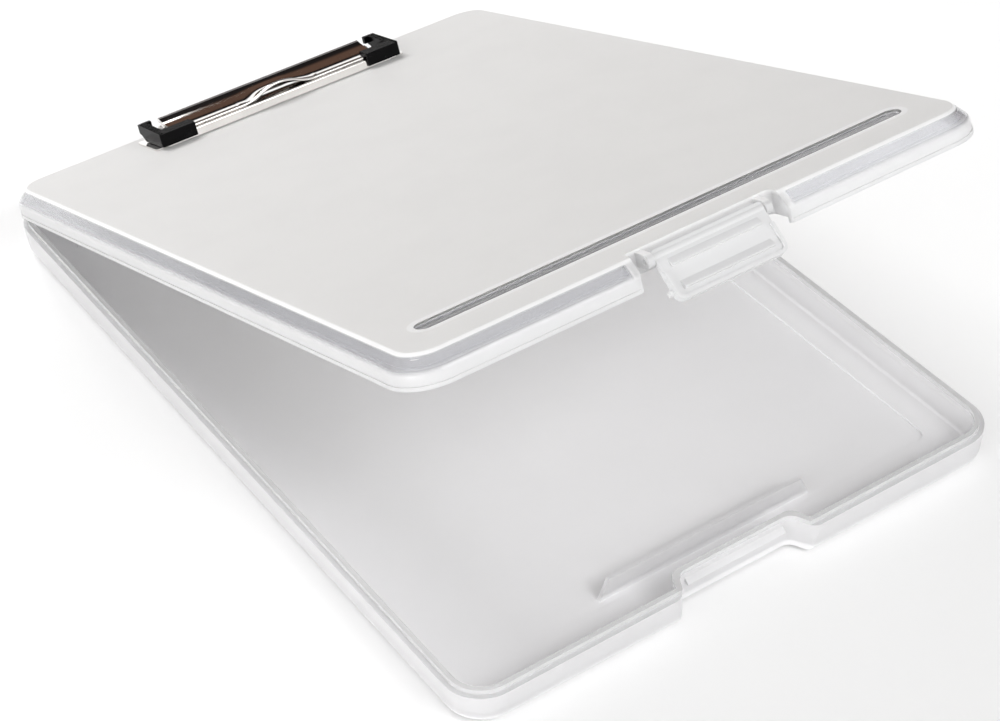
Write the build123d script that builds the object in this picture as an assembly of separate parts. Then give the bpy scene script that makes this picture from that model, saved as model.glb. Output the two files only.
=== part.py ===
from build123d import *
import math
import os

# A flat storage box whose lid is a clipboard.
# Frame: millimetres, +Z up, origin under the middle of the tray on the table.
# X is the width, Y the length: the latch is at -Y and the hinges are at +Y.
# Every piece is drawn with the box shut, then the lid and the latch are swung
# open to the rest pose.

# ---------------------------------------------------------------------------
# Driving dimensions
# ---------------------------------------------------------------------------

# Outline shared by the tray and the lid
box_width = 238.0
box_length = 343.0
corner_radius = 15.5

# Rest pose, degrees from shut
lid_open_angle = 20.65
latch_open_angle = 36.0

# Fits
seat_gap = 0.2                # lid skirt above the tray's shoulder, shut
lap_clearance = 0.3           # tray lip inside the lid skirt
swing_clearance = 0.3         # moving piece beside a fixed one
pin_clearance = 0.05          # radial, pin in bore
shank_clearance = 0.1         # radial, rivet shank in its hole

# Tray
tray_floor = 1.8
foot_step = 1.0               # the middle of the floor is dropped by this
draft_inset = 0.9             # how far the outer wall leans in at the bottom
band_bottom_z = 11.1          # the wall is upright from here to the shoulder
shoulder_z = 13.5
lip_wall = 1.9
lip_height = 1.9
inner_draft = 1.5             # how far the inner wall leans in at the floor
bottom_fillet = 2.5
inner_fillet = 1.4
panel_inset_side = 16.5
panel_inset_end = 21.0
panel_corner_radius = 5.0
foot_fillet = 0.8

# Rib that keeps paper clear of the latch wall
rib_half_length = 47.5
rib_end_slope = 4.0           # how far each end leans in at the top
rib_thickness = 1.5
rib_setback = 25.5            # from the front face to the rib's middle
rib_below_lip = 4.8

# Latch recess in the tray's front wall
recess_side_gap = 0.8         # beside the tab's nub
recess_flare = 4.5            # each side opens by this towards the mouth
recess_depth = 9.2
recess_wall = 2.0
recess_fillet = 5.0
ridge_half_length = 22.0
ridge_reach = 2.2
ridge_bottom_z = 9.0
ridge_height = 1.1

# Lid
lid_height = 10.8             # from the skirt's lower edge to the top
lid_wall = 1.6
lid_top = 1.8
skirt_band = 1.4              # raised band along the skirt's lower edge
skirt_step = 0.4
skirt_upright = 5.5
bevel_inset = 5.75            # inset of the flat top
bevel_fillet = 4.0
top_edge_fillet = 0.5

# Pencil groove in the lid
groove_margin = 18.5           # from the side of the box to the groove's end
groove_setback = 25.1
groove_width = 7.4
groove_depth = 1.4
groove_fillet = 0.8

# Latch notch in the lid
notch_side_gap = 4.5          # beside each ear
notch_depth = 9.7
notch_fillet = 2.0
notch_wall_above_lip = 0.3

# Latch tab and its pin
latch_pin_setback = 4.9
latch_pin_below_top = 3.4
latch_pin_radius = 1.0
latch_barrel_wall = 0.85      # round the latch pin's bore
ear_wall = 1.55               # round the latch pin's bore
ear_thickness = 2.6
tab_half_width = 22.6
tab_face_setback = 3.3
tab_wall = 1.8
tab_above_pin = 2.2
tab_below_pin = 17.1
tab_corner_radius = 3.0
tab_top_corner_radius = 1.2
tab_rim_width = 1.3
tab_rim_reach = 1.0
tab_rim_height = 11.0
tab_step_half_length = 18.5
tab_step_height = 3.0
tab_step_edge = 0.6           # upright face at the foot of each step
tab_step_reach = 1.1
tab_step_spacing = 8.4
tab_step_below_pin = 2.3
hook_half_length = 18.0
hook_reach = 2.4
hook_height = 1.4
hook_below_ridge = 0.6
nub_size = 1.6

# Rear hinges
hinge_offset = 75.0           # from the middle to each hinge
hinge_behind = 0.5            # axis behind the rear face
knuckle_wall = 1.85           # round the hinge pin's bore
lid_knuckle_length = 17.0
tray_knuckle_length = 9.0
hinge_pin_radius = 1.1
web_reach = 2.6
web_drop = 5.6

# Paper clip: places are given as distance in front of the hinge axis and
# height above the lid's top
plate_half_length = 61.0
plate_back = 13.0
plate_front = 33.4
plate_thickness = 0.8
plate_corner_radius = 1.5

rod_forward = 17.5
rod_height = 3.3
rod_radius = 0.9
rod_head_overhang = 0.5
rod_head_length = 0.6

sheet = 0.8
lever_half_length = 49.6
lug_thickness = 1.0
lug_wall = 1.05               # round the rod's bore
lug_inset = 0.2
clip_ear_gap = 0.8
clip_ear_thickness = 1.0

roll_forward = 14.4
roll_radius = 1.1
trough_forward = 28.5         # lowest line of the trough
trough_height = 4.05          # its underside
trough_radius = 34.0
bead_forward = 33.0
bead_radius = 0.65
bead_half_length = 56.4
arch_half_length = 18.0
arch_height = 3.9
arch_overlap = 2.0            # straight stretch in the lofted middle
arch_section_step = 4.0
arch_spread = 0.2             # share of the arch's rise in the middle of the sheet

strip_forward = 34.7          # front face of the jaw strip
strip_lean = 0.3
strip_bottom = 0.3
strip_flange = 8.0
strip_bend = 0.8

cap_outer = 58.6
cap_wall = 3.4
cap_arm_inner = 42.2
cap_front = 35.6
cap_front_wall = 0.9
cap_back = 12.9
cap_front_height = 6.7
cap_back_height = 8.0
cap_gap = 0.3
cap_heel_forward = 18.0
cap_heel_back = 14.6
cap_heel_height = 3.6
cap_tail_height = 4.0
cap_arm_back = 29.4
cap_finger_tip = 53.0
cap_finger_width = 1.9
cap_fillet = 1.2
cap_grooves = 4
cap_groove_width = 0.35
cap_groove_depth = 0.3
cap_groove_pitch = 0.75

spring_wire = 0.7
spring_bore_gap = 0.35        # between the rod and the curls
spring_turns = 4
spring_pitch = 1.25
spring_inset = 1.6            # from the lug to the first curl
spring_foot = 9.0
spring_arm = 1.6

rivet_offset = 30.0
rivet_forward = 23.0
rivet_shank_radius = 1.9
rivet_head_overhang = 1.1
rivet_head_height = 0.9
washer_overhang = 1.5          # beyond the rivet's head
washer_thickness = 0.8

beyond = 20.0                 # how far a cutting shape runs past the walls

# ---------------------------------------------------------------------------
# Derived places
# ---------------------------------------------------------------------------
front_y = -box_length / 2
rear_y = box_length / 2
lip_inset = lid_wall + lap_clearance
cavity_inset = lip_inset + lip_wall
lip_top_z = shoulder_z + lip_height
panel_top_z = tray_floor
floor_top_z = tray_floor + foot_step
skirt_z = shoulder_z + seat_gap
lid_top_z = skirt_z + lid_height
ceiling_z = lid_top_z - lid_top
notch_wall_z = lip_top_z + notch_wall_above_lip

hinge_y = rear_y + hinge_behind
hinge_z = shoulder_z + seat_gap / 2

knuckle_radius = hinge_pin_radius + pin_clearance + knuckle_wall

latch_pin_y = front_y + latch_pin_setback
latch_pin_z = lid_top_z - latch_pin_below_top
latch_barrel_radius = latch_pin_radius + pin_clearance + latch_barrel_wall
ear_radius = latch_pin_radius + pin_clearance + ear_wall
ear_outer = tab_half_width + swing_clearance + ear_thickness
notch_half_width = ear_outer + notch_side_gap
recess_half_back = tab_half_width + nub_size + recess_side_gap
recess_half_mouth = recess_half_back + recess_flare

groove_half_length = box_width / 2 - groove_margin

lug_radius = rod_radius + pin_clearance + lug_wall
rod_head_radius = rod_radius + rod_head_overhang
spring_radius = rod_radius + spring_bore_gap + spring_wire / 2
rivet_head_radius = rivet_shank_radius + rivet_head_overhang
washer_radius = rivet_head_radius + washer_overhang

lug_outer = lever_half_length - lug_inset
clip_ear_inner = lug_outer + clip_ear_gap
clip_ear_outer = clip_ear_inner + clip_ear_thickness
bead_height = trough_height + sheet / 2 + (
    trough_radius - math.sqrt(trough_radius ** 2 - (bead_forward - trough_forward) ** 2)
)

# ---------------------------------------------------------------------------
# Helpers
# ---------------------------------------------------------------------------


def outline(inset, z):
    """The box outline moved inwards by inset, at height z."""
    width = box_width - 2 * inset
    length = box_length - 2 * inset
    return Plane.XY.offset(z) * RectangleRounded(width, length, corner_radius - inset)


def upright(inset, z_low, z_high):
    """A block with upright walls on the box outline."""
    return extrude(outline(inset, z_low), z_high - z_low)


def leaning(inset_low, z_low, inset_high, z_high):
    """A block whose walls lean from one inset to another."""
    sections = [outline(inset_low, z_low).face(), outline(inset_high, z_high).face()]
    return loft(sections, ruled=True)


def at_height(shape, z):
    """The edges of a shape that lie flat at height z."""
    return shape.edges().filter_by_position(Axis.Z, z - 0.01, z + 0.01)


def lowest(shape):
    """The lowest group of edges of a shape."""
    return shape.edges().group_by(Axis.Z)[0]


def cylinder_x(radius, x_from, x_to, y, z):
    """A cylinder along X."""
    return Pos((x_from + x_to) / 2, y, z) * Rot(0, 90, 0) * Cylinder(radius, x_to - x_from)


def block(x_from, x_to, y_from, y_to, z_from, z_to):
    """A box between two corners."""
    centre = Pos((x_from + x_to) / 2, (y_from + y_to) / 2, (z_from + z_to) / 2)
    return centre * Box(x_to - x_from, y_to - y_from, z_to - z_from)


def side_block(points, x_from, x_to):
    """A polygon in (y, z), extruded along X."""
    face = make_face(Polyline(*points, close=True))
    return extrude(Plane.YZ.offset(x_from) * face, x_to - x_from)


def bay(half_mouth, half_back, depth, radius, z_low, z_high):
    """A bay cut into the front wall, with rounded corners, open to the front."""
    points = [
        (-half_mouth - beyond, front_y - beyond),
        (-half_mouth - beyond, front_y),
        (-half_mouth, front_y),
        (-half_back, front_y + depth),
        (half_back, front_y + depth),
        (half_mouth, front_y),
        (half_mouth + beyond, front_y),
        (half_mouth + beyond, front_y - beyond),
    ]
    face = make_face(Polyline(*points, close=True))
    inside = face.vertices().filter_by_position(Axis.X, -half_mouth - 1, half_mouth + 1)
    face = fillet(inside, radius)
    return extrude(Plane.XY.offset(z_low) * face, z_high - z_low)


def clip_plane(x):
    """Section plane of the clip: forward of the hinge axis, up from the lid."""
    return Plane(origin=(x, hinge_y, lid_top_z), x_dir=(0, -1, 0), z_dir=(-1, 0, 0))


def clip_block(face, x_from, x_to):
    """A face drawn in a section of the clip, extruded along X."""
    return extrude(clip_plane(x_to) * face, x_to - x_from)


def clip_polygon(points, x_from, x_to):
    """A polygon drawn in a section of the clip, extruded along X."""
    return clip_block(make_face(Polyline(*points, close=True)), x_from, x_to)


def clip_cylinder(radius, x_from, x_to, forward, height):
    """A cylinder along X at a place in the clip's section."""
    return cylinder_x(radius, x_from, x_to, hinge_y - forward, lid_top_z + height)


def both_sides(shape):
    """A shape and its mirror image across the middle."""
    return shape + mirror(shape, about=Plane.YZ)


def swing(shape, y, z, angle):
    """Turn a shape about a line along X; the front goes up."""
    return Pos(0, y, z) * Rot(-angle, 0, 0) * Pos(0, -y, -z) * shape


def on_lid(shape):
    """Carry a piece of the shut lid to the rest pose."""
    return swing(shape, hinge_y, hinge_z, lid_open_angle)


def on_latch(shape):
    """Carry a piece of the shut latch to the rest pose."""
    return on_lid(swing(shape, latch_pin_y, latch_pin_z, latch_open_angle))


def hinge_ranges(side):
    """The X places of a hinge: its pin, its lid knuckle and its tray knuckles."""
    middle = side * hinge_offset
    lid_half = lid_knuckle_length / 2
    near = lid_half + swing_clearance
    far = near + tray_knuckle_length
    return {
        "pin": (middle - far, middle + far),
        "lid": [(middle - lid_half, middle + lid_half)],
        "tray": [(middle - far, middle - near), (middle + near, middle + far)],
    }


# ---------------------------------------------------------------------------
# Tray
# ---------------------------------------------------------------------------


def tray_web(x_from, x_to):
    """The rib under a tray knuckle that runs down the rear wall."""
    points = [
        (rear_y - cavity_inset / 2, hinge_z - web_drop),
        (rear_y - draft_inset / 2, hinge_z - web_drop),
        (hinge_y + web_reach, hinge_z - knuckle_radius / 2),
        (hinge_y, hinge_z),
        (rear_y - cavity_inset / 2, hinge_z),
    ]
    return side_block(points, x_from, x_to)


def make_tray_shell():
    outer = leaning(draft_inset, foot_step, 0, band_bottom_z)
    outer = fillet(lowest(outer), bottom_fillet)
    outer += upright(0, band_bottom_z, shoulder_z)
    outer += upright(lip_inset, shoulder_z, lip_top_z)

    cavity = leaning(cavity_inset + inner_draft, floor_top_z, cavity_inset, band_bottom_z)
    cavity = fillet(lowest(cavity), inner_fillet)
    cavity += upright(cavity_inset, band_bottom_z, lip_top_z + 1)
    cavity -= bay(
        recess_half_mouth + recess_wall,
        recess_half_back + recess_wall,
        recess_depth + recess_wall,
        recess_fillet,
        0,
        lip_top_z + 2,
    )
    tray = outer - cavity

    panel_width = box_width - 2 * panel_inset_side
    panel_length = box_length - 2 * panel_inset_end
    foot_outline = RectangleRounded(
        panel_width + 2 * tray_floor,
        panel_length + 2 * tray_floor,
        panel_corner_radius + tray_floor,
    )
    foot = extrude(foot_outline, foot_step + tray_floor / 2)
    foot = fillet(lowest(foot), foot_fillet)
    pocket_outline = RectangleRounded(panel_width, panel_length, panel_corner_radius)
    pocket = extrude(Plane.XY.offset(panel_top_z) * pocket_outline, foot_step + 1)
    tray = tray + foot - pocket

    rib_top = lip_top_z - rib_below_lip
    rib_y = front_y + rib_setback
    rib_points = [
        (-rib_half_length, panel_top_z - tray_floor / 2),
        (-rib_half_length, panel_top_z),
        (-rib_half_length + rib_end_slope, rib_top),
        (rib_half_length - rib_end_slope, rib_top),
        (rib_half_length, panel_top_z),
        (rib_half_length, panel_top_z - tray_floor / 2),
    ]
    rib_face = make_face(Polyline(*rib_points, close=True))
    rib_plane = Plane(origin=(0, rib_y + rib_thickness / 2, 0), x_dir=(1, 0, 0), z_dir=(0, -1, 0))
    tray += extrude(rib_plane * rib_face, rib_thickness)

    tray -= bay(
        recess_half_mouth, recess_half_back, recess_depth, recess_fillet, -1, lip_top_z + 1
    )
    recess_y = front_y + recess_depth
    ridge_points = [
        (recess_y + recess_wall / 2, ridge_bottom_z),
        (recess_y - ridge_reach, ridge_bottom_z),
        (recess_y - ridge_reach, ridge_bottom_z + ridge_height / 2),
        (recess_y, ridge_bottom_z + ridge_height + ridge_reach / 2),
        (recess_y + recess_wall / 2, ridge_bottom_z + ridge_height + ridge_reach / 2),
    ]
    tray += side_block(ridge_points, -ridge_half_length, ridge_half_length)

    clear_radius = knuckle_radius + swing_clearance
    for side in (-1, 1):
        places = hinge_ranges(side)
        for x_from, x_to in places["lid"]:
            tray -= cylinder_x(
                clear_radius, x_from - swing_clearance, x_to + swing_clearance, hinge_y, hinge_z
            )
        for x_from, x_to in places["tray"]:
            tray += cylinder_x(knuckle_radius, x_from, x_to, hinge_y, hinge_z)
            tray += tray_web(x_from, x_to)
        bore_from, bore_to = places["pin"]
        tray -= cylinder_x(
            hinge_pin_radius + pin_clearance, bore_from - 1, bore_to + 1, hinge_y, hinge_z
        )
    return tray


def make_hinge_pin(side):
    x_from, x_to = hinge_ranges(side)["pin"]
    return cylinder_x(hinge_pin_radius, x_from, x_to, hinge_y, hinge_z)


# ---------------------------------------------------------------------------
# Lid
# ---------------------------------------------------------------------------


def lid_web(x_from, x_to):
    """The rib above a lid knuckle that runs up the rear skirt."""
    points = [
        (rear_y - lid_wall / 2, hinge_z + web_drop),
        (rear_y - skirt_step, hinge_z + web_drop),
        (hinge_y + web_reach, hinge_z + knuckle_radius / 2),
        (hinge_y, hinge_z),
        (rear_y - lid_wall / 2, hinge_z),
    ]
    return side_block(points, x_from, x_to)


def make_lid_shell():
    bevel_z = skirt_z + skirt_upright
    outer = upright(skirt_step, skirt_z, bevel_z)
    outer += leaning(skirt_step, bevel_z, bevel_inset, lid_top_z)
    outer = fillet(at_height(outer, bevel_z), bevel_fillet)
    outer = fillet(at_height(outer, lid_top_z), top_edge_fillet)
    outer += upright(0, skirt_z, skirt_z + skirt_band)

    # The inner face follows the bevel at the wall's thickness
    slope = math.atan2(lid_height - skirt_upright, bevel_inset - skirt_step)
    inner_rise = lid_wall / math.cos(slope)
    rise_per_inset = math.tan(slope)
    inner_bevel_z = bevel_z - inner_rise + (lid_wall - skirt_step) * rise_per_inset
    inner_top_inset = lid_wall + (ceiling_z - inner_bevel_z) / rise_per_inset
    cavity = upright(lid_wall, skirt_z - 1, inner_bevel_z)
    cavity += leaning(lid_wall, inner_bevel_z, inner_top_inset, ceiling_z)

    groove_y = front_y + groove_setback
    boss_outline = SlotOverall(2 * groove_half_length + 2 * lid_wall, groove_width + 2 * lid_wall)
    boss_z = ceiling_z - groove_depth
    cavity -= Pos(0, groove_y, boss_z) * extrude(boss_outline, groove_depth + 1)
    cavity -= bay(
        notch_half_width + lid_wall,
        notch_half_width + lid_wall,
        notch_depth + lid_wall,
        notch_fillet,
        notch_wall_z,
        lid_top_z,
    )
    lid = outer - cavity

    groove_z = lid_top_z - groove_depth
    groove = extrude(SlotOverall(2 * groove_half_length, groove_width), groove_depth + 1)
    groove = fillet(lowest(groove), groove_fillet)
    lid -= Pos(0, groove_y, groove_z) * groove

    lid -= bay(
        notch_half_width, notch_half_width, notch_depth, notch_fillet, skirt_z - 1, lid_top_z + 1
    )

    ear_back = front_y + notch_depth + lid_wall / 2
    ear_inner = tab_half_width + swing_clearance
    ear = cylinder_x(ear_radius, ear_inner, ear_outer, latch_pin_y, latch_pin_z)
    ear += block(
        ear_inner,
        ear_outer,
        latch_pin_y,
        ear_back,
        latch_pin_z - ear_radius,
        latch_pin_z + ear_radius,
    )
    lid += both_sides(ear)
    lid -= cylinder_x(
        latch_pin_radius + pin_clearance, -ear_outer - 1, ear_outer + 1, latch_pin_y, latch_pin_z
    )

    clear_radius = knuckle_radius + swing_clearance
    for side in (-1, 1):
        places = hinge_ranges(side)
        for x_from, x_to in places["tray"]:
            lid -= cylinder_x(
                clear_radius, x_from - swing_clearance, x_to + swing_clearance, hinge_y, hinge_z
            )
        for x_from, x_to in places["lid"]:
            lid += cylinder_x(knuckle_radius, x_from, x_to, hinge_y, hinge_z)
            lid += lid_web(x_from, x_to)
        bore_from, bore_to = places["pin"]
        lid -= cylinder_x(
            hinge_pin_radius + pin_clearance, bore_from - 1, bore_to + 1, hinge_y, hinge_z
        )
        lid -= rivet_hole(side)
    return lid


# ---------------------------------------------------------------------------
# Latch
# ---------------------------------------------------------------------------


def make_latch_tab():
    face_y = front_y + tab_face_setback
    back_y = face_y + tab_wall
    top_z = latch_pin_z + tab_above_pin
    bottom_z = latch_pin_z - tab_below_pin
    height = top_z - bottom_z

    plate_face = Rectangle(2 * tab_half_width, height)
    top_corners = plate_face.vertices().sort_by(Axis.Y)[2:]
    plate_face = fillet(top_corners, tab_top_corner_radius)
    bottom_corners = plate_face.vertices().group_by(Axis.Y)[0]
    plate_face = fillet(bottom_corners, tab_corner_radius)
    upright_plane = Plane(
        origin=(0, back_y, (top_z + bottom_z) / 2), x_dir=(1, 0, 0), z_dir=(0, -1, 0)
    )
    tab = extrude(upright_plane * plate_face, tab_wall)
    tab += cylinder_x(
        latch_barrel_radius, -tab_half_width, tab_half_width, latch_pin_y, latch_pin_z
    )

    # Raised rim round the sides and the lower edge
    rim = extrude(upright_plane * plate_face, tab_wall + tab_rim_reach)
    rim_bottom = bottom_z + tab_rim_width
    rim_inner = Rectangle(2 * (tab_half_width - tab_rim_width), height)
    inner_plane = Plane(
        origin=(0, face_y, rim_bottom + height / 2), x_dir=(1, 0, 0), z_dir=(0, -1, 0)
    )
    rim_cut = extrude(inner_plane * rim_inner, 2 * tab_rim_reach)
    rim_cut = fillet(lowest(rim_cut).filter_by(Axis.Y), tab_corner_radius - tab_rim_width)
    rim -= rim_cut
    rim -= block(
        -tab_half_width - 1,
        tab_half_width + 1,
        front_y - beyond,
        face_y,
        bottom_z + tab_rim_height,
        top_z + 1,
    )
    tab += rim

    # Steps for the finger
    for count in range(2):
        step_top = latch_pin_z - tab_step_below_pin - count * tab_step_spacing
        step_points = [
            (face_y + tab_wall / 2, step_top),
            (face_y, step_top),
            (face_y - tab_step_reach, step_top - tab_step_height + tab_step_edge),
            (face_y - tab_step_reach, step_top - tab_step_height),
            (face_y + tab_wall / 2, step_top - tab_step_height),
        ]
        tab += side_block(step_points, -tab_step_half_length, tab_step_half_length)

    # Hook that goes under the tray's ridge
    hook_top = ridge_bottom_z - hook_below_ridge
    hook_points = [
        (back_y - tab_wall / 2, hook_top),
        (back_y + hook_reach, hook_top),
        (back_y + hook_reach, hook_top - hook_height / 2),
        (back_y, hook_top - hook_height),
        (back_y - tab_wall / 2, hook_top - hook_height),
    ]
    tab += side_block(hook_points, -hook_half_length, hook_half_length)

    # Pull nub at the lower left corner
    nub_z = bottom_z + tab_corner_radius + nub_size / 2
    tab += block(
        -tab_half_width - nub_size,
        -tab_half_width + nub_size,
        face_y,
        back_y,
        nub_z - nub_size / 2,
        nub_z + nub_size / 2,
    )
    tab -= cylinder_x(
        latch_pin_radius + pin_clearance,
        -tab_half_width - 1,
        tab_half_width + 1,
        latch_pin_y,
        latch_pin_z,
    )
    return tab


def make_latch_pin():
    return cylinder_x(latch_pin_radius, -ear_outer, ear_outer, latch_pin_y, latch_pin_z)


# ---------------------------------------------------------------------------
# Paper clip
# ---------------------------------------------------------------------------


def rivet_hole(side):
    """The hole for a rivet through the base plate and the lid."""
    middle = Pos(side * rivet_offset, hinge_y - rivet_forward, lid_top_z)
    return middle * Cylinder(rivet_shank_radius + shank_clearance, beyond)


def make_base_plate():
    length = plate_front - plate_back
    middle = Pos(0, hinge_y - (plate_front + plate_back) / 2, lid_top_z)
    plate = middle * extrude(
        RectangleRounded(2 * plate_half_length, length, plate_corner_radius), plate_thickness
    )
    ear = clip_cylinder(lug_radius, clip_ear_inner, clip_ear_outer, rod_forward, rod_height)
    ear += clip_polygon(
        [
            (rod_forward - lug_radius, plate_thickness / 2),
            (rod_forward + lug_radius, plate_thickness / 2),
            (rod_forward + lug_radius, rod_height),
            (rod_forward - lug_radius, rod_height),
        ],
        clip_ear_inner,
        clip_ear_outer,
    )
    plate += both_sides(ear)
    plate -= clip_cylinder(
        rod_radius + pin_clearance, -plate_half_length, plate_half_length, rod_forward, rod_height
    )
    for side in (-1, 1):
        plate -= rivet_hole(side)
    return plate


def make_pivot_rod():
    rod_end = clip_ear_outer + pin_clearance
    rod = clip_cylinder(rod_radius, -rod_end, rod_end, rod_forward, rod_height)
    head = clip_cylinder(
        rod_head_radius, rod_end, rod_end + rod_head_length, rod_forward, rod_height
    )
    return rod + both_sides(head)


def arch_curve_radius():
    """Radius of the four equal arcs of the bead's arch."""
    return ((arch_half_length / 2) ** 2 + (arch_height / 2) ** 2) / arch_height


def arch_rise(x):
    """How far the bead's arch stands above its straight ends."""
    radius = arch_curve_radius()
    distance = abs(x)
    if distance >= arch_half_length:
        return 0.0
    if distance > arch_half_length / 2:
        return radius - math.sqrt(radius ** 2 - (arch_half_length - distance) ** 2)
    return arch_height - radius + math.sqrt(radius ** 2 - distance ** 2)


def trough_rise(forward):
    """How far the trough's underside rises from its lowest line."""
    return trough_radius - math.sqrt(trough_radius ** 2 - (forward - trough_forward) ** 2)


def trough_face(x):
    """The lever's sheet in section: a shallow trough whose front follows the arch."""
    middle_forward = (roll_forward + bead_forward) / 2
    back = trough_height + trough_rise(roll_forward)
    middle = trough_height + trough_rise(middle_forward) + arch_spread * arch_rise(x)
    front = trough_height + trough_rise(bead_forward) + arch_rise(x)
    lower = ThreePointArc(
        (roll_forward, back), (middle_forward, middle), (bead_forward, front)
    )
    upper = ThreePointArc(
        (roll_forward, back + sheet), (middle_forward, middle + sheet), (bead_forward, front + sheet)
    )
    front_end = Line((bead_forward, front), (bead_forward, front + sheet))
    back_end = Line((roll_forward, back + sheet), (roll_forward, back))
    return make_face([lower, front_end, upper, back_end])


def bead_point(x):
    """A point on the bead's centre line."""
    return (x, hinge_y - bead_forward, lid_top_z + bead_height + arch_rise(x))


def make_bead():
    """The rolled front edge: straight, with an arch of four arcs in the middle."""
    quarter = arch_half_length / 2
    spans = [
        Line(bead_point(-bead_half_length), bead_point(-arch_half_length)),
        ThreePointArc(
            bead_point(-arch_half_length), bead_point(-1.5 * quarter), bead_point(-quarter)
        ),
        ThreePointArc(bead_point(-quarter), bead_point(0), bead_point(quarter)),
        ThreePointArc(
            bead_point(quarter), bead_point(1.5 * quarter), bead_point(arch_half_length)
        ),
        Line(bead_point(arch_half_length), bead_point(bead_half_length)),
    ]
    start = Plane(origin=bead_point(-bead_half_length), z_dir=(1, 0, 0))
    return sweep(start * Circle(bead_radius), path=Wire([span.edge() for span in spans]))


def make_lever():
    middle_half = arch_half_length + arch_overlap
    steps = round(2 * middle_half / arch_section_step)
    places = [-middle_half + 2 * middle_half * count / steps for count in range(steps + 1)]
    lever = loft([(clip_plane(x) * trough_face(x)).face() for x in places])
    side_sheet = clip_block(trough_face(middle_half), middle_half, lever_half_length)
    lever += both_sides(side_sheet)
    lever += clip_cylinder(
        roll_radius,
        -lever_half_length,
        lever_half_length,
        roll_forward,
        trough_height + trough_rise(roll_forward) + sheet - roll_radius,
    )
    lever += make_bead()

    lug_inner = lug_outer - lug_thickness
    lug = clip_cylinder(lug_radius, lug_inner, lug_outer, rod_forward, rod_height)
    lug += clip_polygon(
        [
            (rod_forward - lug_radius, rod_height),
            (rod_forward + lug_radius, rod_height),
            (trough_forward - sheet, trough_height + sheet / 2),
            (rod_forward, trough_height + trough_rise(rod_forward) + sheet / 2),
            (roll_forward + sheet, trough_height + trough_rise(roll_forward)),
        ],
        lug_inner,
        lug_outer,
    )
    lever += both_sides(lug)
    lever -= clip_cylinder(
        rod_radius + pin_clearance, -plate_half_length, plate_half_length, rod_forward, rod_height
    )
    return lever


def make_jaw_strip():
    """The strip under the bead: a flange under the trough and a leg down to the lid."""
    top = trough_height
    outer = [
        (strip_forward - strip_lean - strip_flange, top),
        (strip_forward - strip_lean, top),
        (strip_forward, strip_bottom),
    ]
    inner = [
        (strip_forward - sheet, strip_bottom),
        (strip_forward - strip_lean - sheet, top - sheet),
        (strip_forward - strip_lean - strip_flange, top - sheet),
    ]
    half = bead_half_length - cap_gap
    strip = clip_polygon(outer + inner, -half, half)
    bend = strip.edges().filter_by(Axis.X).group_by(Axis.Z)[-1].sort_by(Axis.Y)[0]
    return fillet(bend, strip_bend)


def make_cap():
    """A corner cap at the right end: an end wall, a front arm and a rear finger."""
    top_slope = (cap_back_height - cap_front_height) / (cap_front - cap_back)

    def top_at(forward):
        return cap_front_height + (cap_front - forward) * top_slope

    bottom = plate_thickness + cap_gap
    end_inner = cap_outer - cap_wall
    end_wall = clip_polygon(
        [
            (cap_front, bottom),
            (cap_front, cap_front_height),
            (cap_back, cap_back_height),
            (cap_back, cap_tail_height),
            (cap_heel_back, cap_heel_height),
            (cap_heel_forward, bottom),
        ],
        end_inner,
        cap_outer,
    )
    outer_front = end_wall.edges().filter_by(
        lambda edge: abs(edge.center().X - cap_outer) < 0.01
        and abs(edge.center().Y - (hinge_y - cap_front)) < 0.01
    )
    end_wall = fillet(outer_front, cap_fillet)
    for count in range(cap_grooves):
        x = end_inner + cap_groove_pitch * (count + 0.5)
        end_wall -= clip_polygon(
            [
                (cap_back - 1, top_at(cap_back - 1) - cap_groove_depth),
                (cap_front + 1, top_at(cap_front + 1) - cap_groove_depth),
                (cap_front + 1, top_at(cap_front + 1) + 1),
                (cap_back - 1, top_at(cap_back - 1) + 1),
            ],
            x,
            x + cap_groove_width,
        )

    finger = clip_polygon(
        [
            (cap_back, cap_tail_height + 1),
            (cap_back + cap_finger_width, cap_tail_height + 1),
            (cap_back + cap_finger_width, top_at(cap_back + cap_finger_width)),
            (cap_back, cap_back_height),
        ],
        cap_finger_tip,
        end_inner + cap_wall / 2,
    )

    front_inside = cap_front - cap_front_wall
    bead_top = bead_height + bead_radius
    sheet_forward = bead_forward - 2 * bead_radius
    sheet_top = trough_height + trough_rise(sheet_forward) + sheet + pin_clearance
    arm = clip_polygon(
        [
            (cap_front, bottom),
            (cap_front, cap_front_height),
            (cap_arm_back, top_at(cap_arm_back)),
            (cap_arm_back, sheet_top),
            (sheet_forward, sheet_top),
            (bead_forward - bead_radius, bead_top + pin_clearance),
            (front_inside, bead_top + pin_clearance),
            (front_inside, bottom),
        ],
        cap_arm_inner,
        end_inner + cap_wall / 2,
    )
    cap = end_wall + finger + arm

    # Sockets for the ends of the bead and of the jaw strip
    cap -= clip_cylinder(
        bead_radius + pin_clearance,
        end_inner - 1,
        bead_half_length + pin_clearance,
        bead_forward,
        bead_height,
    )
    strip_back = strip_forward - strip_lean - strip_flange - cap_gap
    cap -= clip_polygon(
        [
            (strip_back, bottom - 1),
            (front_inside, bottom - 1),
            (front_inside, trough_height + pin_clearance),
            (strip_back, trough_height + pin_clearance),
        ],
        end_inner - 1,
        bead_half_length,
    )
    return cap


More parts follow.
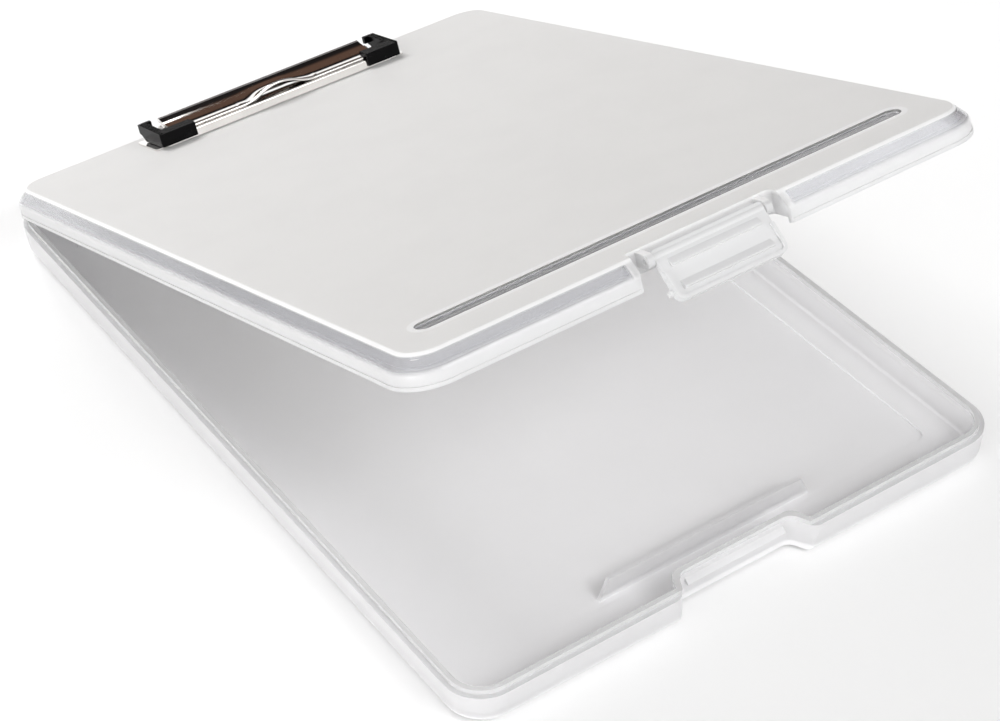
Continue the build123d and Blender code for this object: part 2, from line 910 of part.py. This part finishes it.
def make_rivets():
    rivets = []
    for side in (-1, 1):
        shank_top = plate_thickness + rivet_head_height
        shank_bottom = lid_top + washer_thickness + rivet_head_height
        middle = Pos(side * rivet_offset, hinge_y - rivet_forward, lid_top_z)
        shank = Cylinder(
            rivet_shank_radius,
            shank_top + shank_bottom,
            align=(Align.CENTER, Align.CENTER, Align.MIN),
        )
        head = Cylinder(
            rivet_head_radius, rivet_head_height, align=(Align.CENTER, Align.CENTER, Align.MIN)
        )
        head = fillet(head.edges().group_by(Axis.Z)[-1], rivet_head_height / 2)
        foot = mirror(head, about=Plane.XY)
        rivet = middle * Pos(0, 0, -shank_bottom) * shank
        rivet += middle * Pos(0, 0, plate_thickness) * head
        rivet += middle * Pos(0, 0, -lid_top - washer_thickness) * foot
        rivets.append(rivet.solid())
    return Compound(children=rivets)


def make_rivet_washers():
    washers = []
    for side in (-1, 1):
        middle = Pos(side * rivet_offset, hinge_y - rivet_forward, lid_top_z)
        washer = Cylinder(
            washer_radius, washer_thickness, align=(Align.CENTER, Align.CENTER, Align.MAX)
        )
        washer = middle * Pos(0, 0, -lid_top) * washer
        washers.append((washer - rivet_hole(side)).solid())
    return Compound(children=washers)


# ---------------------------------------------------------------------------
# Torsion springs
# ---------------------------------------------------------------------------


def biarc(start, start_direction, end, end_direction):
    """Two tangent arcs from one point and direction to another."""
    chord = end - start
    total = start_direction + end_direction
    along = chord.dot(total)
    spread = 4 - total.dot(total)
    reach = (-along + math.sqrt(along ** 2 + spread * chord.dot(chord))) / spread
    joint = (start + start_direction * reach + end - end_direction * reach) / 2
    first = Edge.make_tangent_arc(start, start_direction, joint)
    middle_direction = (first % 1).normalized()
    second = Edge.make_tangent_arc(joint, middle_direction, end)
    return [first, second]


def spring_point(x_start, angle):
    """A point and a direction on the coil, which winds round the rod along +X."""
    advance = spring_pitch / (2 * math.pi)
    point = Vector(
        x_start + advance * angle,
        hinge_y - rod_forward + spring_radius * math.cos(angle),
        lid_top_z + rod_height + spring_radius * math.sin(angle),
    )
    direction = Vector(
        advance, -spring_radius * math.sin(angle), spring_radius * math.cos(angle)
    ).normalized()
    return point, direction


def make_spring(side):
    """A torsion spring: one leg lies along the plate, the other under the lever."""
    coil_length = spring_turns * spring_pitch
    lug_inner = lug_outer - lug_thickness
    x_start = lug_inner - spring_inset - coil_length
    if side < 0:
        x_start = -lug_inner + spring_inset

    # The coil starts at its lowest point, where its direction is level, and
    # ends a little past the same place, so that the arm points up and back.
    quarter = math.pi / 2
    first_angle = -quarter
    places = [first_angle + quarter * count for count in range(4 * spring_turns + 1)]
    path = []
    start, start_direction = spring_point(x_start, places[0])
    foot_end = start - start_direction * spring_foot
    path.append(Edge.make_line(foot_end, start))
    for low, high in zip(places[:-1], places[1:]):
        path += biarc(*spring_point(x_start, low), *spring_point(x_start, high))
    end, end_direction = spring_point(x_start, places[-1])
    path.append(Edge.make_line(end, end + end_direction * spring_arm))

    wire = Wire(path)
    section = Plane(origin=foot_end, z_dir=start_direction) * Circle(spring_wire / 2)
    spring = sweep(section, path=wire)
    return spring, wire


def least_gap(wire, samples=900):
    """The least gap between a wound tube and itself, from points on its path."""
    points = [wire.position_at(count / samples) for count in range(samples + 1)]
    step = wire.length / samples
    skip = int(math.pi * spring_radius / step)
    least = min(
        (points[i] - points[j]).length
        for i in range(0, samples + 1, 2)
        for j in range(i + skip, samples + 1, 2)
    )
    return least - spring_wire


# ---------------------------------------------------------------------------
# Build and write every piece
# ---------------------------------------------------------------------------
cap_right = make_cap()
spring_left, left_wire = make_spring(-1)
spring_right, right_wire = make_spring(1)
print("spring least gap, left:", round(least_gap(left_wire), 3))
print("spring least gap, right:", round(least_gap(right_wire), 3))

pieces = {
    "tray_shell": make_tray_shell(),
    "hinge_pin_left": make_hinge_pin(-1),
    "hinge_pin_right": make_hinge_pin(1),
    "lid_shell": on_lid(make_lid_shell()),
    "latch_tab": on_latch(make_latch_tab()),
    "latch_pin": on_lid(make_latch_pin()),
    "clip_base_plate": on_lid(make_base_plate()),
    "clip_pivot_rod": on_lid(make_pivot_rod()),
    "clip_lever": on_lid(make_lever()),
    "clip_jaw_strip": on_lid(make_jaw_strip()),
    "clip_cap_right": on_lid(cap_right),
    "clip_cap_left": on_lid(mirror(cap_right, about=Plane.YZ)),
    "clip_rivets": on_lid(make_rivets()),
    "rivet_washers": on_lid(make_rivet_washers()),
    "clip_spring_left": on_lid(spring_left),
    "clip_spring_right": on_lid(spring_right),
}

os.makedirs("parts", exist_ok=True)
for name, piece in pieces.items():
    export_step(piece, f"parts/{name}.step")
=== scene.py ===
"""Looks, light and camera for a flat storage box whose lid is a clipboard.

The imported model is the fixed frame: every solid keeps its place and its
shape. This file gives each one its finish, with the moulded and rolled
detail that is too fine for the solids, and sets up a plain pale studio.
"""

import logging
import math
from collections.abc import Mapping, Sequence
from dataclasses import dataclass

import bpy
from mathutils import Matrix, Vector

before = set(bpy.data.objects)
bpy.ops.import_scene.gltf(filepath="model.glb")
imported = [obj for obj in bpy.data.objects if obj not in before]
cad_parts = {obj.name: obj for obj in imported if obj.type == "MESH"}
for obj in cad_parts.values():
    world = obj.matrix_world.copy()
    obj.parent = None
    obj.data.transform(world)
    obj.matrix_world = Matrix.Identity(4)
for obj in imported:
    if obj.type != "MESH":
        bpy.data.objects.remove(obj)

log = logging.getLogger("clipboard_box")

Triple = tuple[float, float, float]  # a colour, or a place or direction along X, Y and Z
Pair = tuple[float, float]

PHOTO_WIDTH = 1000
SENSOR_WIDTH = 36.0
CRISP = 0.0001  # metres over which one finish gives way to the next at a moulded edge


# ---------------------------------------------------------------------------
# Shader workbench
# ---------------------------------------------------------------------------


@dataclass(frozen=True)
class Wire:
    """One value inside a material, with Python's operators on it."""

    bench: "Bench"
    socket: bpy.types.NodeSocket

    def calc(self, operation: str, *values: "Wire | float") -> "Wire":
        """Adds one Math node.

        Args:
            operation: the Math node's operation.
            values: its inputs, in order.

        Returns:
            The node's result.
        """
        return self.bench.node("ShaderNodeMath", {"operation": operation}, dict(enumerate(values)))

    def __add__(self, other: "Wire | float") -> "Wire":
        """self + other."""
        return self.calc("ADD", self, other)

    def __radd__(self, other: float) -> "Wire":
        """other + self."""
        return self.calc("ADD", other, self)

    def __sub__(self, other: "Wire | float") -> "Wire":
        """self - other."""
        return self.calc("SUBTRACT", self, other)

    def __rsub__(self, other: float) -> "Wire":
        """other - self."""
        return self.calc("SUBTRACT", other, self)

    def __mul__(self, other: "Wire | float") -> "Wire":
        """self * other."""
        return self.calc("MULTIPLY", self, other)

    def __rmul__(self, other: float) -> "Wire":
        """other * self."""
        return self.calc("MULTIPLY", other, self)

    def __abs__(self) -> "Wire":
        """The value without its sign."""
        return self.calc("ABSOLUTE", self)

    def at_least(self, other: "Wire | float") -> "Wire":
        """The greater of this value and another."""
        return self.calc("MAXIMUM", self, other)

    def over(self, low: float, high: float) -> "Wire":
        """A smooth step.

        Args:
            low: the value where the step leaves 0.
            high: the value where it reaches 1, which may be below low.

        Returns:
            0 on low's side, 1 on high's side.
        """
        values = {"Value": self, "From Min": low, "From Max": high}
        return self.bench.node("ShaderNodeMapRange", {"interpolation_type": "SMOOTHSTEP"}, values)

    def inside(self, reach: float, fade: float = CRISP) -> "Wire":
        """A band round 0.

        Args:
            reach: where the band ends, on both sides of 0.
            fade: how far inside that it begins to give way.

        Returns:
            1 in the band, 0 past it.
        """
        return abs(self).over(reach, reach - fade)

    def to(self, low: float, high: float) -> "Wire":
        """Spreads a 0 to 1 value between two numbers."""
        return self * (high - low) + low


class Bench:
    """The node tree of a material or a sky, and the only place that adds nodes to it."""

    def __init__(self, name: str, sky: bool = False) -> None:
        """Starts an empty material.

        Args:
            name: the material's name.
            sky: whether it is a sky instead.
        """
        self.material = (bpy.data.worlds if sky else bpy.data.materials).new(name)
        self.output = "ShaderNodeOutputWorld" if sky else "ShaderNodeOutputMaterial"
        self.material.use_nodes = True
        self.tree = self.material.node_tree
        self.tree.nodes.clear()

    def node(
        self,
        kind: str,
        settings: Mapping[str, object] | None = None,
        values: Mapping[str | int, object] | None = None,
        output: str | int = 0,
    ) -> Wire:
        """Adds one node.

        Args:
            kind: the node's type.
            settings: its own settings, such as an operation.
            values: numbers, colours or wires for its inputs.
            output: the output to carry on from.

        Returns:
            That output as a wire.
        """
        made = self.tree.nodes.new(kind)
        for name, value in (settings or {}).items():
            setattr(made, name, value)
        for key, value in (values or {}).items():
            if isinstance(value, Wire):
                self.tree.links.new(value.socket, made.inputs[key])
            else:
                made.inputs[key].default_value = value
        return Wire(self, made.outputs[output])

    def place(self, turn: float = 0.0, pivot: Vector | None = None) -> Wire:
        """Where a point of the piece is, in metres.

        Args:
            turn: angle about +X, radians, that takes the point back to the shut box.
            pivot: the point that it turns about.

        Returns:
            The point, after that turn.
        """
        point = self.node("ShaderNodeTexCoord", output="Object")
        if pivot is None:
            return point
        turned = Matrix.Rotation(turn, 3, "X")
        values = {"Vector": point, "Rotation": (turn, 0.0, 0.0), "Location": pivot - turned @ pivot}
        return self.node("ShaderNodeMapping", {"vector_type": "POINT"}, values)

    def axes(self, vector: Wire) -> tuple[Wire, Wire, Wire]:
        """The X, Y and Z of a vector."""
        split = self.node("ShaderNodeSeparateXYZ", values={"Vector": vector}).socket.node
        return tuple(Wire(self, split.outputs[i]) for i in range(3))

    def noise(
        self,
        point: Wire,
        scale: float,
        detail: float = 2.0,
        stretch: Triple = (1.0, 1.0, 1.0),
    ) -> Wire:
        """Cloudy noise.

        Args:
            point: where it is read.
            scale: clouds a metre.
            detail: finer layers.
            stretch: how much denser it is along X, Y and Z.

        Returns:
            A value of about 0 to 1.
        """
        dense = self.node("ShaderNodeVectorMath", {"operation": "MULTIPLY"}, {0: point, 1: stretch})
        return self.node("ShaderNodeTexNoise", values={"Vector": dense, "Scale": scale, "Detail": detail})

    def mix(self, factor: Wire | float, low: Triple | Wire, high: Triple | Wire) -> Wire:
        """A colour between two colours.

        Args:
            factor: 0 for low, 1 for high.
            low: a colour or a wire.
            high: a colour or a wire.

        Returns:
            The mixed colour.
        """
        low, high = ((*c, 1.0) if isinstance(c, tuple) else c for c in (low, high))
        return self.node("ShaderNodeMix", {"data_type": "RGBA"}, {0: factor, 6: low, 7: high}, output=2)

    def dulled(self, factor: Wire, colour: Triple, share: float) -> Wire:
        """A colour with duller patches.

        Args:
            factor: 1 where the patches are.
            colour: the colour elsewhere.
            share: how much of it is left in them.

        Returns:
            The patchy colour.
        """
        return self.mix(factor, colour, tuple(c * share for c in colour))

    def bump(self, height: Wire, depth: float, strength: float = 1.0) -> Wire:
        """A bumped normal.

        Args:
            height: the relief, 0 to 1.
            depth: how deep it is, metres.
            strength: how much of it shows.

        Returns:
            The normal.
        """
        return self.node("ShaderNodeBump", values={"Height": height, "Distance": depth, "Strength": strength})

    def principled(self, values: Mapping[str, object]) -> Wire:
        """A Principled shader with those values."""
        return self.node("ShaderNodeBsdfPrincipled", values=values)

    def blend(self, factor: Wire, low: Wire, high: Wire) -> Wire:
        """A shader between two shaders."""
        return self.node("ShaderNodeMixShader", values={0: factor, 1: low, 2: high})

    def finish(self, shader: Wire) -> bpy.types.Material | bpy.types.World:
        """Sends a shader to the surface and gives the finished material."""
        self.tree.links.new(shader.socket, self.tree.nodes.new(self.output).inputs["Surface"])
        return self.material


# ---------------------------------------------------------------------------
# Finishes
# ---------------------------------------------------------------------------


@dataclass(frozen=True)
class Frost:
    """Milky moulded plastic that lets a blurred part of the light through."""

    colour: Triple
    through: float
    roughness: float
    grain_depth: float = 0.00001
    grain_scale: float = 2600.0
    grain_detail: float = 1.0
    cloud_scale: float = 38.0
    cloud_detail: float = 3.0
    cloud_range: Pair = (0.35, 0.7)
    cloud_share: float = 0.985
    patch_scale: float = 60.0
    patch_spread: float = 0.05
    ior: float = 1.49

    def shader(self, bench: Bench, point: Wire) -> Wire:
        """The frosted shader.

        Args:
            bench: the material's workbench.
            point: where the surface is.

        Returns:
            The shader.
        """
        cloud = bench.noise(point, self.cloud_scale, self.cloud_detail).over(*self.cloud_range)
        grain = bench.noise(point, self.grain_scale, self.grain_detail)
        patch = bench.noise(point, self.patch_scale)
        return bench.principled({
            "Base Color": bench.dulled(cloud, self.colour, self.cloud_share),
            "Roughness": patch.to(self.roughness - self.patch_spread, self.roughness + self.patch_spread),
            "IOR": self.ior,
            "Transmission Weight": self.through,
            "Normal": bench.bump(grain, self.grain_depth),
        })


@dataclass(frozen=True)
class Polish:
    """The same plastic where its mould was polished: clearer, with a glossy skin and slight flow lines."""

    colour: Triple
    through: float
    roughness: float
    flow_depth: float
    flow_scale: float = 60.0
    flow_stretch: Triple = (1.0, 1.0, 6.0)
    flow_range: Pair = (0.3, 0.7)
    flow_share: float = 0.97
    flow_strength: float = 0.2
    patch_scale: float = 90.0
    patch_spread: float = 0.3
    coat: float = 0.7
    coat_roughness: float = 0.05
    ior: float = 1.49

    def shader(self, bench: Bench, point: Wire) -> Wire:
        """The clear shader.

        Args:
            bench: the material's workbench.
            point: where the surface is.

        Returns:
            The shader.
        """
        flow = bench.noise(point, self.flow_scale, stretch=self.flow_stretch)
        low, high = (self.roughness * share for share in (1.0 - self.patch_spread, 1.0 + self.patch_spread))
        return bench.principled({
            "Base Color": bench.dulled(flow.over(*self.flow_range), self.colour, self.flow_share),
            "Roughness": bench.noise(point, self.patch_scale).to(low, high),
            "IOR": self.ior,
            "Transmission Weight": self.through,
            "Coat Weight": self.coat,
            "Coat Roughness": self.coat_roughness,
            "Normal": bench.bump(flow, self.flow_depth, self.flow_strength),
        })


@dataclass(frozen=True)
class Plating:
    """Bright plated steel, with faint rolling lines along X and smears."""

    colour: Triple
    roughness: float
    line_depth: float = 0.000004
    line_scale: float = 900.0
    line_stretch: Triple = (0.04, 1.0, 1.0)
    line_strength: float = 0.5
    smear_scale: float = 120.0
    smear_detail: float = 3.0
    smear_range: Pair = (0.4, 0.75)
    smear_share: float = 0.93
    smear_gloss: Pair = (0.6, 1.5)

    def material(self, name: str) -> bpy.types.Material:
        """The finished material.

        Args:
            name: the material's name.

        Returns:
            The material.
        """
        bench = Bench(name)
        point = bench.place()
        rolled = bench.noise(point, self.line_scale, stretch=self.line_stretch)
        smear = bench.noise(point, self.smear_scale, self.smear_detail)
        low, high = (self.roughness * share for share in self.smear_gloss)
        return bench.finish(bench.principled({
            "Base Color": bench.dulled(smear.over(*self.smear_range), self.colour, self.smear_share),
            "Metallic": 1.0,
            "Roughness": smear.to(low, high),
            "Normal": bench.bump(rolled, self.line_depth, self.line_strength),
        }))


@dataclass(frozen=True)
class Satin:
    """Black moulded plastic with a satin skin and paler rubbed spots."""

    colour: Triple
    roughness: float
    gloss: float = 0.08
    grain_depth: float = 0.00002
    grain_scale: float = 3200.0
    grain_strength: float = 0.6
    rub_scale: float = 240.0
    rub_detail: float = 4.0
    rub_range: Pair = (0.55, 0.8)
    rub_share: float = 0.5
    rub_gain: float = 2.0
    rub_lift: float = 0.004
    rub_polish: float = 0.1

    def material(self, name: str) -> bpy.types.Material:
        """The finished material.

        Args:
            name: the material's name.

        Returns:
            The material.
        """
        bench = Bench(name)
        point = bench.place()
        grain = bench.noise(point, self.grain_scale)
        rubbed = bench.noise(point, self.rub_scale, self.rub_detail).over(*self.rub_range)
        pale = tuple(c * self.rub_gain + self.rub_lift for c in self.colour)
        return bench.finish(bench.principled({
            "Base Color": bench.mix(rubbed * self.rub_share, self.colour, pale),
            "Roughness": rubbed.to(self.roughness, self.roughness - self.rub_polish),
            "Specular IOR Level": self.gloss,
            "Normal": bench.bump(grain, self.grain_depth, self.grain_strength),
        }))


# ---------------------------------------------------------------------------
# Sub-assemblies
# ---------------------------------------------------------------------------


def dress(material: bpy.types.Material, *nodes: str) -> None:
    """Gives solids of the frame their finish.

    Args:
        material: the finish, for every slot they have.
        nodes: the solids' names.
    """
    for node in nodes:
        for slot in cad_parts[node].material_slots:
            slot.material = material
        log.info("%s: %s", node, material.name)


@dataclass
class Tray:
    """The frosted lower tray, with a smooth rim and a denser foot."""

    rim_low_z: float = 0.0132
    rim_high_z: float = 0.0137
    foot_low_z: float = 0.0030
    foot_high_z: float = 0.0040
    frost: Frost = Frost((0.975, 0.97, 0.98), 0.36, 0.36)
    foot: Frost = Frost((0.975, 0.97, 0.98), 0.08, 0.45)
    smooth: Frost = Frost((0.98, 0.98, 0.985), 0.42, 0.22, 0.000003)
    pins: Plating = Plating((0.55, 0.54, 0.53), 0.22)

    def build(self) -> None:
        """Dresses the tray and its hinge pins."""
        bench = Bench("tray frosted plastic")
        point = bench.place()
        height = bench.axes(point)[2]
        frost, foot, smooth = (finish.shader(bench, point) for finish in (self.frost, self.foot, self.smooth))
        walls = bench.blend(height.over(self.foot_high_z, self.foot_low_z), frost, foot)
        rim = height.over(self.rim_low_z, self.rim_high_z)
        dress(bench.finish(bench.blend(rim, walls, smooth)), "tray_shell")
        dress(self.pins.material("hinge pin steel"), "hinge_pin_left", "hinge_pin_right")


@dataclass
class Lid:
    """The lid: a matte writing board with clear sides and a clear groove, with painted highlights along its
    rounded top edge and round the groove's mouth, and painted shade in the groove floor's dark tint.

    Its places are those of the shut box, so its points are first turned back
    about the hinge.
    """

    open_angle: float = math.radians(20.65)
    hinge: Triple = (0.0, 0.172, 0.0136)
    board_low_z: float = 0.02428
    board_high_z: float = 0.02438
    # Height band of the painted highlight along the lid's rounded top edge.
    edge_low_z: float = 0.0231
    edge_high_z: float = 0.02366
    skirt_high_z: float = 0.0204
    skirt_low_z: float = 0.0186
    ceiling_z: float = 0.0227
    ceiling_half_width: float = 0.1126
    ceiling_half_length: float = 0.1651
    groove_y: float = -0.1464
    groove_half_length: float = 0.1007
    groove_half_width: float = 0.0039
    # Reach of the painted highlight round the groove's mouth, past the groove's side.
    ring_inner: float = 0.0016
    ring_outer: float = 0.0024
    ear_reach: float = 0.0335
    ear_y: float = -0.1560
    ear_fade: float = 0.001
    matte: Frost = Frost((0.905, 0.90, 0.89), 0.22, 0.60, 0.00003)
    milky: Frost = Frost((0.97, 0.97, 0.975), 0.45, 0.30)
    # Clear plastic of the sides; its grey-lilac tint is a painted reflection of blue things beside the box,
    # darkened as painted shade.
    clear: Polish = Polish((0.865, 0.87, 0.905), 0.80, 0.20, 0.000008)
    # Groove floor: clear plastic tinted dark grey, a painted shade of the box's inside seen through it.
    glass: Polish = Polish((0.52, 0.52, 0.535), 0.95, 0.2, 0.000001)
    # Paler, denser plastic for the painted highlights on the rounded top edge and round the groove's mouth.
    painted_highlight: Frost = Frost((0.98, 0.98, 0.98), 0.10, 0.34)
    pin: Frost = Frost((0.94, 0.94, 0.95), 0.35, 0.25)

    def build(self) -> None:
        """Dresses the lid and its latch pin."""
        bench = Bench("lid frosted plastic")
        point = bench.place(self.open_angle, Vector(self.hinge))
        x, y, z = bench.axes(point)
        finishes = (self.matte, self.milky, self.clear, self.glass, self.painted_highlight)
        matte, milky, clear, glass, painted_highlight = (finish.shader(bench, point) for finish in finishes)

        board = z.over(self.board_low_z, self.board_high_z)
        groove = (y - self.groove_y).inside(self.groove_half_width) * x.inside(self.groove_half_length)
        # Painted highlight on the board round the groove's mouth.
        top = bench.blend(self.highlight_ring(x, y) * board, matte, painted_highlight)

        sides = bench.blend(z.over(self.skirt_high_z, self.skirt_low_z), clear, milky)
        ears = x.inside(self.ear_reach, self.ear_fade) * y.over(self.ear_y + self.ear_fade, self.ear_y)
        ceiling = abs(z - self.ceiling_z).over(CRISP, CRISP / 2.0)
        ceiling = ceiling * x.inside(self.ceiling_half_width) * y.inside(self.ceiling_half_length)
        below = bench.blend(ceiling, bench.blend(ears, sides, milky), matte)
        # Painted highlight along the rounded top edge, kept out of the groove.
        edge = z.over(self.edge_low_z, self.edge_high_z) * (1.0 - groove)
        below = bench.blend(edge, below, painted_highlight)

        # The groove floor takes the dark-tinted clear plastic, painted shade of the inside.
        shell = bench.blend(groove * (1.0 - board), bench.blend(board, below, top), glass)
        dress(bench.finish(shell), "lid_shell")
        pin = Bench("latch pin clear plastic")
        dress(pin.finish(self.pin.shader(pin, pin.place())), "latch_pin")

    def highlight_ring(self, x: Wire, y: Wire) -> Wire:
        """The painted highlight round the groove's mouth, paler plastic standing in for light on its rounded
        edge.

        Args:
            x: the point's X.
            y: its Y.

        Returns:
            1 on the painted highlight and in the groove, 0 outside.
        """
        past = (abs(x) - (self.groove_half_length - self.groove_half_width)).at_least(0.0)
        aside = y - self.groove_y
        away = aside.calc("SQRT", past * past + aside * aside)
        return away.over(self.groove_half_width + self.ring_outer, self.groove_half_width + self.ring_inner)


@dataclass
class Latch:
    """The clear frosted tab that swings down over the tray's catch."""

    frost: Frost = Frost((0.90, 0.90, 0.905), 0.22, 0.32)

    def build(self) -> None:
        """Dresses the latch tab."""
        bench = Bench("latch clear frosted plastic")
        dress(bench.finish(self.frost.shader(bench, bench.place())), "latch_tab")


@dataclass
class PaperClip:
    """The plated paper clip with black end caps."""

    chrome: Plating = Plating((0.80, 0.78, 0.76), 0.07)
    steel: Plating = Plating((0.60, 0.59, 0.58), 0.2)
    black: Satin = Satin((0.002, 0.002, 0.0022), 0.22)

    def build(self) -> None:
        """Dresses the clip's pieces."""
        chrome = self.chrome.material("clip bright chrome")
        dress(chrome, "clip_lever", "clip_jaw_strip", "clip_base_plate")
        steel = self.steel.material("clip spring steel")
        dress(steel, "clip_pivot_rod", "clip_spring_left", "clip_spring_right")
        dress(steel, "clip_rivets", "rivet_washers")
        dress(self.black.material("cap satin black"), "clip_cap_left", "clip_cap_right")


# ---------------------------------------------------------------------------
# Studio
# ---------------------------------------------------------------------------


@dataclass(frozen=True)
class Lamp:
    """One softbox."""

    name: str
    place: Triple
    aim: Triple
    size: Pair
    power: float

    def build(self) -> None:
        """Hangs the lamp."""
        bpy.ops.object.light_add(type="AREA", location=self.place)
        lamp = bpy.context.object
        lamp.name = self.name
        lamp.rotation_euler = (Vector(self.aim) - Vector(self.place)).to_track_quat("-Z", "Y").to_euler()
        lamp.data.shape = "RECTANGLE"
        lamp.data.size, lamp.data.size_y = self.size
        lamp.data.energy = self.power


@dataclass(frozen=True)
class Sky:
    """A sky that is pale before the object and dark behind it, so that plating has something to show.

    A pair of numbers is where a change begins and ends, as parts of the way
    to the front, the back or the zenith.
    """

    pale: Triple = (0.94, 0.94, 0.94)
    zenith: Triple = (0.45, 0.45, 0.45)
    dark: Triple = (0.014, 0.012, 0.012)
    warm: Triple = (0.12, 0.070, 0.050)
    pale_turn: float = 0.25
    pale_side: Pair = (0.45, -0.15)
    zenith_rise: Pair = (0.55, 0.95)
    warm_foot: Pair = (0.08, 0.18)
    warm_head: Pair = (0.50, 0.38)

    def build(self) -> None:
        """Hangs the sky."""
        bench = Bench("studio sky", sky=True)
        across, along, upward = bench.axes(bench.node("ShaderNodeTexCoord", output="Generated"))
        band = upward.over(*self.warm_foot) * upward.over(*self.warm_head)
        front = (along + across * self.pale_turn).over(*self.pale_side)
        low = bench.mix(front, bench.mix(band, self.dark, self.warm), self.pale)
        colour = bench.mix(upward.over(*self.zenith_rise), low, self.zenith)
        bpy.context.scene.world = bench.finish(bench.node("ShaderNodeBackground", values={"Color": colour}))


@dataclass(frozen=True)
class Camera:
    """The camera, where the picture was taken from."""

    eye: Triple = (-0.40933, -0.64501, 0.63425)
    right: Triple = (0.8233, -0.56676, -0.03085)
    up: Triple = (0.38551, 0.51846, 0.76327)
    focal_pixels: float = 2497.4
    nearest: float = 0.02

    def build(self) -> None:
        """Sets the camera up."""
        bpy.ops.object.camera_add()
        camera = bpy.context.object
        camera.name = "camera"
        right = Vector(self.right).normalized()
        back = right.cross(Vector(self.up)).normalized()
        turn = Matrix((right, back.cross(right), back)).transposed().to_4x4()
        camera.matrix_world = Matrix.Translation(self.eye) @ turn
        camera.data.sensor_width = SENSOR_WIDTH
        camera.data.lens = self.focal_pixels * SENSOR_WIDTH / PHOTO_WIDTH
        camera.data.clip_start = self.nearest
        bpy.context.scene.camera = camera


@dataclass
class Studio:
    """A pale floor, soft lamps, a sky and the camera."""

    floor_side: float = 30.0
    floor_z: float = -0.0003
    floor_colour: Triple = (0.88, 0.88, 0.88)
    glow_colour: Triple = (1.0, 1.0, 1.0)
    glow_strength: float = 0.13
    lamps: tuple[Lamp, ...] = (
        Lamp("top softbox", (-0.14, 1.23, 0.845), (0.0, 0.16, 0.04), (0.78, 0.585), 11.5),
        Lamp("left softbox", (-1.40, -0.45, 0.30), (0.0, 0.0, 0.02), (0.6, 0.35), 6.6),
        Lamp("rim strip", (-0.28, 2.05, 1.10), (0.0, 0.15, 0.04), (2.2, 0.16), 4.5),
        Lamp("front softbox", (0.50, -1.65, 1.60), (0.0, -0.08, 0.02), (1.1, 0.8), 15.5),
    )
    sky: Sky = Sky()
    camera: Camera = Camera()

    def build(self) -> None:
        """Builds the whole studio."""
        self.lay_floor()
        for piece in (self.sky, *self.lamps, self.camera):
            piece.build()

    def lay_floor(self) -> None:
        """Lays a pale floor that keeps the object's shadow and glows a little where it is seen."""
        bpy.ops.mesh.primitive_plane_add(size=self.floor_side, location=(0.0, 0.0, self.floor_z))
        floor = bpy.context.object
        floor.name = "floor"
        bpy.ops.object.transform_apply(location=True)
        bench = Bench("pale floor")
        paint = bench.node("ShaderNodeBsdfDiffuse", values={"Color": (*self.floor_colour, 1.0)})
        values = {"Color": (*self.glow_colour, 1.0), "Strength": self.glow_strength}
        glow = bench.node("ShaderNodeEmission", values=values)
        both = bench.node("ShaderNodeAddShader", values={0: paint, 1: glow})
        rays = bench.node("ShaderNodeLightPath").socket.node.outputs
        ways = ("Camera", "Glossy", "Transmission")
        camera, shine, glass = (Wire(bench, rays[f"Is {way} Ray"]) for way in ways)
        seen = camera.at_least(shine).at_least(glass)
        floor.data.materials.append(bench.finish(bench.blend(seen, paint, both)))


# ---------------------------------------------------------------------------
# Making
# ---------------------------------------------------------------------------


def main() -> None:
    logging.basicConfig(level=logging.INFO, format="%(name)s: %(message)s")
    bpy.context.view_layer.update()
    bpy.ops.object.select_all(action="DESELECT")
    bpy.context.scene.view_settings.view_transform = "Standard"
    for part in (Tray(), Lid(), Latch(), PaperClip(), Studio()):
        part.build()
        log.info("%s built", type(part).__name__)


if __name__ == "__main__":
    main()
